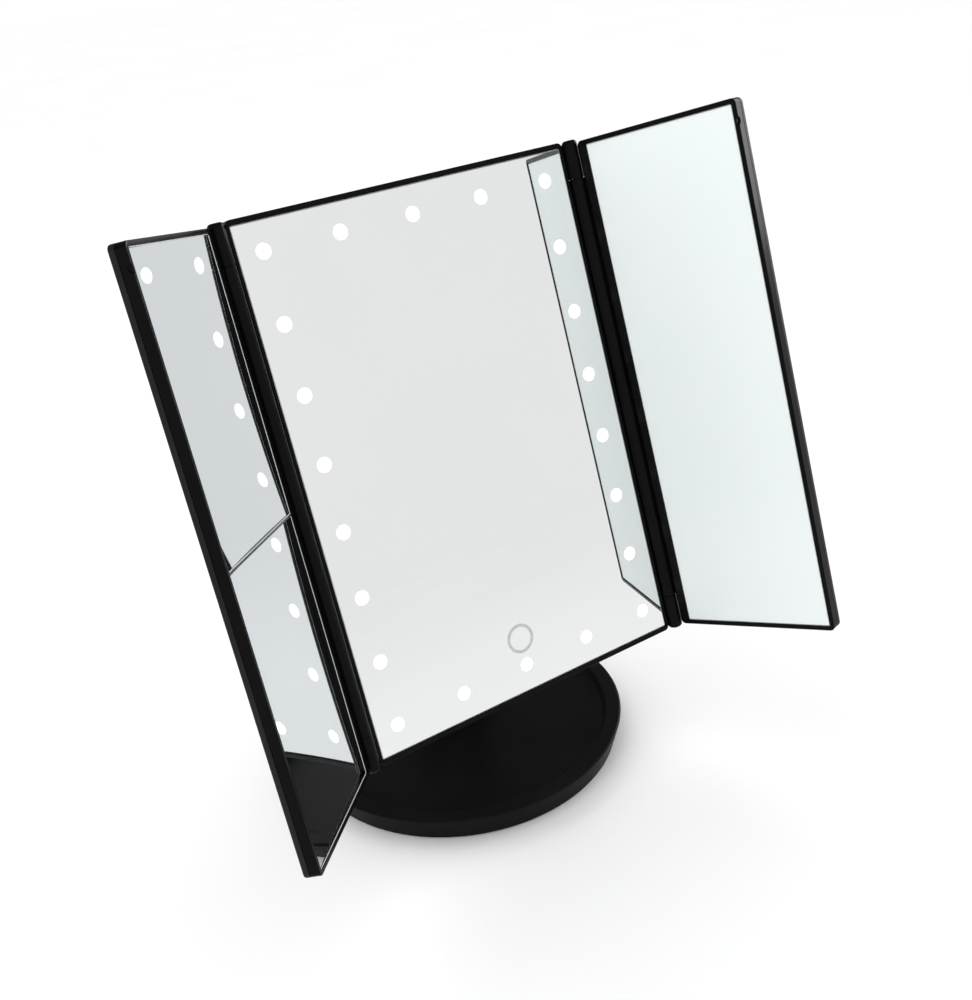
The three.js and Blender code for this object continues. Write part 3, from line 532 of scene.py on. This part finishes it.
barrel = rod(PIVOT_R, -BLOCK_HALF, BLOCK_HALF, "x", (PIVOT_WORLD.y, PIVOT_WORLD.z), 96, 0.8)
tongue = moved(slab((-12, 12, -4, 4), 1.2, -28, -2, 0.5, 0.5), PIVOT_WORLD,
               Matrix.Rotation(NECK_TOP_LEAN, 3, "X"))
bore = rod(PIVOT_BORE_R, -CUT_REACH, CUT_REACH, "x", (PIVOT_WORLD.y, PIVOT_WORLD.z), 48)
block_mesh = carved(barrel, [("UNION", tongue), ("DIFFERENCE", bore)])
piece("neck_pivot_barrel", block_mesh, WORLD, "base", ["neck_pivot_block"], gloss_black)

# ------------------------------------------------------------ tilt bracket

PIVOT_AT = (PIVOT_Y, PIVOT_Z)
tools = []
for sx in (-1, 1):
    x0, x1 = sorted((sx * LUG_IN, sx * LUG_OUT))
    tools.append(("UNION", slab((x0, x1, PIVOT_Y - PIVOT_R, PIVOT_Y + PIVOT_R), 0.6, PIVOT_Z, -15)))
    tools.append(("UNION", rod(PIVOT_R, x0, x1, "x", PIVOT_AT, 96, 0.6)))
tools.append(("DIFFERENCE", rod(PIVOT_BORE_R, -CUT_REACH, CUT_REACH, "x", PIVOT_AT, 48)))
for x, y in BRACKET_SCREWS:
    tools.append(("DIFFERENCE", rod(1.8, -20, -10, "z", (x, y), 32)))
bracket = carved(slab((-27, 27, PIVOT_Y - 14, PIVOT_Y + 14), 4, -17.3, -14.3, 0.7, 0.2), tools)
piece("tilt_bracket_body", bracket, HEAD, "head", ["tilt_bracket"], gloss_black)

for sx, side in ((-1, "left"), (1, "right")):
    cap = [(0, 27.9), (7.4, 27.9, 0.6), (7.4, 22.2, 0.2), (8.6, 22.2, 0.2), (8.6, 29.4, 1.4),
           (6.6, 29.4, 0.3), (6.2, 29.0, 0.3), (3.0, 29.0, 0.5), (0, 29.0)]
    body = turned([(r, sx * h) for r, h in filleted(cap, 5)], 96, "x", PIVOT_AT)
    piece(f"pivot_end_cap_{side}", body, HEAD, "head", [f"pivot_cap_{side}"], gloss_black)


def screw_mesh(head_z, seat_z, tip_z, shank, head):
    """A pan-head screw with a cross recess, pointing towards +z."""
    profile = filleted([(0, head_z), (head * 0.7, head_z, 0.4), (head, head_z + 0.35, 0.3),
                        (head, seat_z, 0.1), (shank, seat_z), (shank, tip_z - shank, 0.2), (0, tip_z)], 4)
    slots = []
    for wide, tall in ((head * 0.62, 0.28), (0.28, head * 0.62)):
        loops = [rounded((-wide, wide, -tall, tall), 0.1, head_z - 0.5, 2),
                 rounded((-wide * 0.8, wide * 0.8, -tall * 0.8, tall * 0.8), 0.08, head_z + 0.5, 2)]
        slots.append(("DIFFERENCE", loft(loops)))
    return carved(turned(profile, 40), slots)


def place_screws(made, places, name, nodes):
    for i, (x, y) in enumerate(places):
        turn = Matrix.Rotation(math.radians(23 + 31 * i), 4, "Z")
        at = HEAD @ Matrix.Translation((x * MM, y * MM, 0)) @ turn
        piece(f"{name}_{i + 1}", made.copy(), at, "head", [f"{nodes}_{i + 1}"], steel)


place_screws(screw_mesh(-14.0, -13.1, -7.0, 1.35, 2.7), CASE_SCREWS, "case_screw_head", "case_screw")
place_screws(screw_mesh(-19.2, -17.6, -10.0, 1.3, 2.8), BRACKET_SCREWS, "bracket_screw_head", "bracket_screw")

# ------------------------------------------------------------ head shell


def quad_ring(sections, arc=10):
    """A picture frame: one rounded rectangle for each (box, corner radius, z) of its section, in order."""
    return loft([rounded(box, radius, z, arc) for box, radius, z in sections], ring=True)


def bezel(outer, inner, corner, back_z, front_z, pocket, pocket_z, edge):
    """A frame whose outer and inner front edges are rounded, with the glass's pocket behind."""
    rows = [(outer, corner, back_z)]
    for i in range(5):
        a = math.pi / 2 * i / 4
        by = edge * (1 - math.cos(a))
        rows.append((inset(outer, by), max(corner - by, 0.2), front_z - edge * (1 - math.sin(a))))
    lip = edge * 0.6
    for i in range(4):
        a = math.pi / 2 * i / 3
        by = -lip * (1 - math.sin(a))
        rows.append((inset(inner, by), 0.9 + lip * (1 - math.sin(a)), front_z - lip * (1 - math.cos(a))))
    rows += [(inner, 0.9, pocket_z), (pocket, 1.0, pocket_z), (pocket, 1.0, back_z)]
    return quad_ring(rows)


def knuckle(sx, sy):
    h0, h1 = BARREL_HALF + 0.30, FRAME_H
    corners = [(0, h0), (BARREL_R, h0, HINGE_FILLET), (BARREL_R, h1, 2.1), (0, h1)]
    body = turned([(r, sy * h) for r, h in filleted(corners, 8)], 64, "y", (sx * HINGE_X, HINGE_Z))
    x0, x1 = sorted((sx * (FRAME_W - 1.2), sx * HINGE_X))
    y0, y1 = sorted((sy * h0, sy * (h1 - 1.6)))
    return body, slab((x0, x1, y0, y1), 0.3, HINGE_Z - BARREL_R + 0.4, 0.1, 0, 0.3)


tools = []
for sx in (-1, 1):
    for sy in (-1, 1):
        body, web = knuckle(sx, sy)
        tools += [("UNION", web), ("UNION", body)]
        h0, h1 = sorted((sy * (BARREL_HALF - 1), sy * 123.8))
        tools.append(("DIFFERENCE", rod(PIN_BORE_R, h0, h1, "y", (sx * HINGE_X, HINGE_Z), 32)))
for x, y in CASE_SCREWS:
    tools.append(("UNION", rod(3, -11.7, -2.3, "z", (x, y), 32)))
    tools.append(("DIFFERENCE", rod(1.7, -14, -6, "z", (x, y), 24)))
front = bezel((-FRAME_W, FRAME_W, -FRAME_H, FRAME_H), (-GLASS_W, GLASS_W, -GLASS_H, GLASS_H), 2.5,
              FRAME_BACK_Z, BEZEL_Z, (-85.0, 85.0, -123.7, 123.7), 0.15, EDGE_FILLET)
piece("head_bezel", carved(front, tools), HEAD, "head", ["head_front_frame"], gloss_black)

cover_box = (-COVER_W, COVER_W, -FRAME_H, FRAME_H)
hump = slab((-BOX_W, BOX_W, BOX_LOW, BOX_TOP), 6, BOX_BACK_Z, COVER_BACK_Z + 1, 2.6, 0, 12, 6)
door_x, groove_x = DOOR_W + 0.3, DOOR_W + 1.8
tools = [
    ("UNION", hump),
    ("DIFFERENCE", slab(inset(cover_box, 2), 4, COVER_BACK_Z + 2, 0)),
    ("DIFFERENCE", slab((-31, 31, -103.5, -42.5), 1, BOX_BACK_Z - 1, COVER_BACK_Z + 4)),
    ("DIFFERENCE", slab((-door_x, door_x, BOX_LOW - 18, -39), 0.2, BOX_BACK_Z - 1, BOX_BACK_Z + 2)),
    ("DIFFERENCE", slab((-groove_x, groove_x, BOX_LOW - 18, -39), 0.2, BOX_BACK_Z + 0.6, BOX_BACK_Z + 2)),
    ("DIFFERENCE", slab((55.6, 60.4, -91.4, -81.6), 0.4, COVER_BACK_Z - 1, COVER_BACK_Z + 3)),
    ("DIFFERENCE", moved(slab((53.1, 62.9, -2.0, 2.0), 1.2, -2, 5), (0, -FRAME_H, -9),
                         Matrix.Rotation(-math.pi / 2, 3, "X"))),
]
for x, y in CASE_SCREWS:
    tools.append(("DIFFERENCE", rod(1.9, COVER_BACK_Z - 1, 0, "z", (x, y), 32)))
    recess = [(0, COVER_BACK_Z - 1), (4.6, COVER_BACK_Z - 1), (3.2, COVER_BACK_Z + 0.4),
              (3.2, COVER_BACK_Z + 1.2), (0, COVER_BACK_Z + 1.2)]
    tools.append(("DIFFERENCE", turned(recess, 48, "z", (x, y))))
for x, y in BRACKET_SCREWS:
    tools.append(("DIFFERENCE", rod(1.7, COVER_BACK_Z - 1, 0, "z", (x, y), 32)))
cover = slab(cover_box, 6, COVER_BACK_Z, COVER_FRONT_Z, 3.0, 0.3, 12, 7)
piece("head_rear_cover", carved(cover, tools), HEAD, "head", ["head_back_cover"], satin_black)

# ------------------------------------------------------------ centre glass, lights and touch mark


def light_places():
    places = []
    for i in range(5):
        x = LIGHT_W * (i / 2 - 1)
        places += [(x, LIGHT_H), (x, -LIGHT_H)]
    for i in range(1, 7):
        y = LIGHT_H * (2 * i / 7 - 1)
        places += [(-LIGHT_W, y), (LIGHT_W, y)]
    return places


def mirror_blank(box, radius, back_z, face_z):
    """A sheet with a chamfered back edge and a bevel round its face, part of which the frame covers."""
    rows = [(inset(box, 0.25), back_z), (box, back_z + 0.25), (box, face_z - BEVEL_DEEP),
            (inset(box, BEVEL_WIDE), face_z)]
    return loft([rounded(b, max(radius - (b[0] - box[0]), 0.1), z, 6) for b, z in rows])


windows = [("DIFFERENCE", rod(LIGHT_R, -3, 1, "z", at, 40)) for at in light_places()]
glass = carved(mirror_blank((-84.7, 84.7, -123.4, 123.4), 1, -2, 0), windows)
# The bevel round the glass carries the pale painted highlight line.
piece("centre_glass", glass, HEAD, "head", ["centre_mirror"], silvered_glass,
      weighted=False, bevel=edge_highlight_paint, flat=True)

strip = []
for z in (-3.3, -2.3):
    strip.append(((-79, 79, -116.5, 116.5), 3, z))
for z in (-2.3, -3.3):
    strip.append(((-66, 66, -103.5, 103.5), 3, z))
stud = filleted([(0, -2.9), (LIGHT_R - 0.01, -2.9), (LIGHT_R - 0.01, -0.01, 0.02), (0, 0.0)], 4)
studs = [("UNION", turned(stud, 40, "z", at)) for at in light_places()]
piece("light_windows", carved(quad_ring(strip, 6), studs), HEAD, "head", ["light_diffuser"],
      frosted_light, baked=False)

ring_profile = filleted([(6.5, 0.02), (TOUCH_OUT_R, 0.02, 0.02), (TOUCH_OUT_R, 0.10, 0.04),
                         (TOUCH_IN_R, 0.10, 0.04), (TOUCH_IN_R, 0.02, 0.02), (6.5, 0.02)], 2)
piece("touch_ring_mark", turned(ring_profile[:-1], 96, "z", (0, TOUCH_Y), ring=True), HEAD, "head", [],
      touch_print)

# ------------------------------------------------------------ battery door and switch

door_body = slab((-DOOR_W, DOOR_W, BOX_LOW, DOOR_TOP), 0.6, BOX_BACK_Z, BOX_BACK_Z + 1, 0.35, 0)
runner = slab((-DOOR_W - 1.5, DOOR_W + 1.5, BOX_LOW, DOOR_TOP), 0.3, BOX_BACK_Z + 0.9, BOX_BACK_Z + 1.7)
tools = [("UNION", runner)]
for i in range(4):
    y = BOX_LOW + 6 + 2.4 * i
    tools.append(("UNION", slab((-9, 9, y, y + 1), 0.45, BOX_BACK_Z - 0.5, BOX_BACK_Z + 0.5, 0.3, 0)))
for side in (-1, 1):
    outline = [(side * 4.0, -90.5), (side * 0.2, -85.5), (side * 0.2, -84.5), (side * 4.0, -89.5)]
    if side < 0:
        outline.reverse()
    arrow = [[(x, y, z) for x, y in outline] for z in (BOX_BACK_Z - 1, BOX_BACK_Z + 0.3)]
    tools.append(("DIFFERENCE", loft(arrow)))
piece("battery_hatch", carved(door_body, tools), HEAD, "battery_door", ["battery_door"],
      satin_black)

knob = slab((56, 60, -91, -85), 0.4, COVER_BACK_Z - 1.8, COVER_BACK_Z + 2.4, 0.3, 0)
tools = []
for dy in (-1.4, 0, 1.4):
    rib = slab((56, 60, -88 + dy - 0.3, -88 + dy + 0.3), 0.25, COVER_BACK_Z - 2.2, COVER_BACK_Z - 1.6, 0.2, 0)
    tools.append(("UNION", rib))
piece("power_slider", carved(knob, tools), HEAD, "power_switch", ["power_switch_knob"],
      gloss_black)

# ------------------------------------------------------------ wings

window_box = (WING_GLASS_X0, WING_GLASS_X1, -WING_GLASS_H, WING_GLASS_H)
wing_box = (WING_X0, WING_X1, -WING_H, WING_H)


def wing_shell():
    pocket = (7.9, 88.2, -122.8, 122.8)
    base = bezel(wing_box, window_box, 2.5, WING_SPLIT_Z, WING_FRONT_Z, pocket, -0.75, EDGE_FILLET)
    reach = BARREL_HALF + 0.28
    profile = filleted([(0, -reach), (BARREL_R, -reach, HINGE_FILLET), (BARREL_R, reach, HINGE_FILLET),
                        (0, reach)], 4)
    tools = [("UNION", slab((1, WING_X0 + 1, -BARREL_HALF, BARREL_HALF), 0.3, -3.2, -0.9, 0, 0.2)),
             ("UNION", turned(profile, 64, "y"))]
    notch = [(0, WING_X1 - 0.8), (1.5, WING_X1 - 0.8), (1.8, WING_X1 - 0.5), (1.8, WING_X1 - 0.2),
             (2.0, WING_X1 + 1), (0, WING_X1 + 1)]
    tools.append(("DIFFERENCE", turned(notch, 40, "x", (WING_H - 9.7, WING_FRONT_Z))))
    for h0, h1 in ((94.5, 108.2), (-108.2, -94.5)):
        tools.append(("DIFFERENCE", rod(PIN_BORE_R, h0, h1, "y", (0, 0), 32)))
    return base, tools


def wing_cover():
    base = slab(wing_box, 2.5, WING_BACK_Z, WING_SPLIT_Z - 0.3, 0.9, 0.15, 10, 5)
    hollow = slab(inset(wing_box, 1.3), 1, WING_BACK_Z + 1.1, 0)
    return base, [("DIFFERENCE", hollow)]


def hollow_glass(y0, y1, radius, lean, columns=44, rows=64):
    """A mirror blank with a concave spherical face, whose highest corners are at the wing's glass level.

    The lean, in radians, turns the face a little towards the hinge.
    """
    x0, x1, back_z = 8.2 + EDGE_WIDE, 87.6 - EDGE_WIDE, WING_BACK_Z + 1.4
    y0, y1 = y0 + EDGE_WIDE, y1 - EDGE_WIDE
    middle = ((x0 + x1) / 2 - lean * radius, (y0 + y1) / 2)
    level = math.sqrt(radius ** 2 - (x1 - middle[0]) ** 2 - (y1 - middle[1]) ** 2)
    points, faces = [], []
    for j in range(rows + 1):
        for i in range(columns + 1):
            x = x1 if i == columns else x0 + (x1 - x0) * i / columns
            y = y1 if j == rows else y0 + (y1 - y0) * j / rows
            off = (x - middle[0]) ** 2 + (y - middle[1]) ** 2
            points.append((x, y, WING_GLASS_Z - math.sqrt(radius ** 2 - off) + level))
    wide = columns + 1
    for j in range(rows):
        for i in range(columns):
            a = j * wide + i
            faces.append((a, a + 1, a + wide + 1, a + wide))
    edge = list(range(wide)) + [j * wide + columns for j in range(1, rows + 1)]
    edge += [rows * wide + i for i in range(columns - 1, -1, -1)] + [j * wide for j in range(rows - 1, 0, -1)]
    n = len(edge)
    wall = []
    for e in edge:
        x, y, z = points[e]
        x += EDGE_WIDE * ((x == x1) - (x == x0))
        y += EDGE_WIDE * ((y == y1) - (y == y0))
        wall.append((x, y, z - EDGE_WIDE))
    upper = len(points)
    points += wall + [(x, y, back_z) for x, y, _ in wall]
    lower = upper + n
    for k in range(n):
        m = (k + 1) % n
        faces.append((edge[m], edge[k], upper + k, upper + m))
        faces.append((upper + m, upper + k, lower + k, lower + m))
    faces.append(tuple(range(lower + n - 1, lower - 1, -1)))
    return points, faces


for name, place, flip in (("right", RIGHT_WING, False), ("left", LEFT_WING, True)):
    body = f"{name}_wing"
    shell = carved(*wing_shell(), flip=flip)
    piece(f"{body}_bezel", shell, place, body, [f"{body}_frame"], gloss_black)
    shell = carved(*wing_cover(), flip=flip)
    piece(f"{body}_rear_cover", shell, place, body, [f"{body}_back_cover"], satin_black)

bar_box = (WING_GLASS_X0 - 0.4, WING_GLASS_X1 + 0.4, DIVIDER_Y - DIVIDER_HALF, DIVIDER_Y + DIVIDER_HALF)
bar = slab(bar_box, 0.15, WING_SPLIT_Z, WING_FRONT_Z - 0.1, 0, 0.3, 4, 5)
piece("left_wing_divider", bar, LEFT_WING, "left_wing", ["left_wing_frame"], bar_black,
      flip=True)

flat = mirror_blank((8.2, 87.6, -122.3, 122.3), 0.8, WING_GLASS_Z - 2, WING_GLASS_Z)
# The bevel round the glass carries the pale painted highlight line.
piece("right_wing_glass", flat, RIGHT_WING, "right_wing", ["right_wing_mirror"], wing_glass,
      weighted=False, bevel=edge_highlight_paint, flat=True)
upper_low, lower_high = DIVIDER_Y + DIVIDER_HALF + 0.03, DIVIDER_Y - DIVIDER_HALF - 0.03
# The lower band's upper side is hidden inside the divider.
for name, y0, y1, radius, lean, hidden in (
        ("upper", upper_low, 122.3, UPPER_MIRROR_R, UPPER_MIRROR_LEAN, 0.0),
        ("lower", -122.3, lower_high, LOWER_MIRROR_R, LOWER_MIRROR_LEAN, 0.5)):
    seat = (WING_GLASS_X0, WING_GLASS_X1, max(y0, -WING_GLASS_H), min(y1 + hidden, WING_GLASS_H))
    outer, inner = inset(seat, -BAND_TUCK), inset(seat, BAND_WIDE)
    rows = [(outer, 0.3, BAND_LOW_Z), (outer, 0.3, BAND_TOP_Z), (inner, 0.3, BAND_TOP_Z - BAND_DROP),
            (inner, 0.3, BAND_LOW_Z)]
    # Each band's sloped top takes the pale bevel colour, a painted highlight line along the mirror's edge;
    # the rest of the band is the frame's black.
    piece(f"left_wing_{name}_edge_band", quad_ring(rows, 4), LEFT_WING, "left_wing", [], gloss_black,
          flip=True, bevel=edge_highlight_paint)
    piece(f"left_wing_{name}_glass", hollow_glass(y0, y1, radius, lean), LEFT_WING, "left_wing",
          [f"left_wing_{name}_mirror"], silvered_acrylic, flip=True, weighted=False)

# ------------------------------------------------------------ CAD nodes that still show

KEPT = {
    steel: ["base_ballast", "base_screw_1", "base_screw_2", "base_screw_3", "base_screw_4", "neck_core_strip",
            "neck_screw_1", "neck_screw_2", "tilt_shaft", "tilt_disc_spring", "tilt_nut", "usb_socket",
            "hinge_pin_left_top", "hinge_pin_left_bottom", "hinge_pin_right_top", "hinge_pin_right_bottom"],
    nickel: ["battery_contact_top", "battery_contact_bottom"],
    copper: ["touch_sensor_pad"],
    rubber: ["right_wing_foam_pad"],
    nylon: ["tilt_friction_washer_left", "tilt_friction_washer_right"],
    board: ["light_board", "control_board"],
    jacket: ["battery_cell_1", "battery_cell_2", "battery_cell_3", "battery_cell_4"],
    satin_black: ["power_switch_body"],
}
for material, names in KEPT.items():
    for name in names:
        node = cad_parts[name]
        node.data.materials.clear()
        node.data.materials.append(material)
        node.data.shade_smooth()
        node.data.set_sharp_from_angle(angle=SMOOTH_ANGLE)

# ------------------------------------------------------------ floor, light and camera

floor_mesh = bpy.data.meshes.new("floor")
fill_mesh(floor_mesh, turned([(0, -0.4), (9000, -0.4)], 96), False)
floor = bpy.data.objects.new("floor", floor_mesh)
scene.collection.objects.link(floor)
paper = Shader("paper", Roughness=0.9, Specular_IOR_Level=0.1)
paper.mix(paper.noise(3, 2), (0.93, 0.93, 0.93), (0.95, 0.95, 0.95))
floor_mesh.materials.append(paper.material)

scene.view_settings.view_transform = "Standard"
scene.view_settings.look = "None"

# The studio is white to the camera and a little brighter for diffuse light. In reflections it is darker
# above and behind the object, as in a light tent with a dark ceiling, and brighter far out to the right.
# Black plastic then stays black with a sheen on its right, and seen from the front the mirrors stay bright.
world = bpy.data.worlds.new("studio")
scene.world = world
world.use_nodes = True
nodes, links = world.node_tree.nodes, world.node_tree.links
background = nodes["Background"]
background.inputs["Color"].default_value = (1, 1, 1, 1)
towards = nodes.new("ShaderNodeTexCoord").outputs["Generated"]


def lobe(direction, start, end, low, high):
    """A strength that eases from low to high as a ray turns towards the direction."""
    dot = nodes.new("ShaderNodeVectorMath")
    dot.operation = "DOT_PRODUCT"
    dot.inputs[1].default_value = Vector(direction).normalized()
    links.new(towards, dot.inputs[0])
    ease = nodes.new("ShaderNodeMapRange")
    ease.interpolation_type = "SMOOTHSTEP"
    for name, value in (("From Min", start), ("From Max", end), ("To Min", low), ("To Max", high)):
        ease.inputs[name].default_value = value
    links.new(dot.outputs["Value"], ease.inputs["Value"])
    return ease.outputs["Result"]


def world_mix(factor, low, high):
    """low where the factor is 0 and high where it is 1; each is a number or an output."""
    node = nodes.new("ShaderNodeMix")
    links.new(factor, node.inputs["Factor"])
    for name, value in (("A", low), ("B", high)):
        if isinstance(value, (int, float)):
            node.inputs[name].default_value = value
        else:
            links.new(value, node.inputs[name])
    return node.outputs["Result"]


ceiling = lobe((0, 0.36, 1), 0.12, 0.46, 1.0, 0.30)
sheen = lobe((1, 0.08, 0.12), 0.85, 0.985, 0.0, 6.4)
total = nodes.new("ShaderNodeMath")
links.new(ceiling, total.inputs[0])
links.new(sheen, total.inputs[1])
path = nodes.new("ShaderNodeLightPath")
lit = world_mix(path.outputs["Is Diffuse Ray"], 1.0, 1.085)
strength = world_mix(path.outputs["Is Glossy Ray"], lit, total.outputs["Value"])
links.new(strength, background.inputs["Strength"])


def softbox(name, at, target, size, power):
    """A rectangular lamp that no reflection shows."""
    lamp = bpy.data.lights.new(name, "AREA")
    lamp.shape = "RECTANGLE"
    lamp.size, lamp.size_y = size
    lamp.energy = power
    obj = bpy.data.objects.new(name, lamp)
    scene.collection.objects.link(obj)
    obj.location = at
    obj.rotation_euler = (Vector(target) - Vector(at)).to_track_quat("-Z", "Y").to_euler()
    obj.visible_glossy = False


softbox("softbox", (-0.1, 0.3, 1.15), (-0.05, 0.15, 0), (1.4, 1.2), 3.6)

camera_data = bpy.data.cameras.new("camera")
camera_data.lens = 43.69
camera_data.sensor_width = 36
camera_data.clip_start, camera_data.clip_end = 0.02, 50
camera = bpy.data.objects.new("camera", camera_data)
scene.collection.objects.link(camera)
camera.rotation_mode = "QUATERNION"
camera.location = (-0.256135, -0.501842, 0.420082)
camera.rotation_quaternion = Quaternion((0.80516, 0.518575, -0.106133, -0.267455))
scene.camera = camera
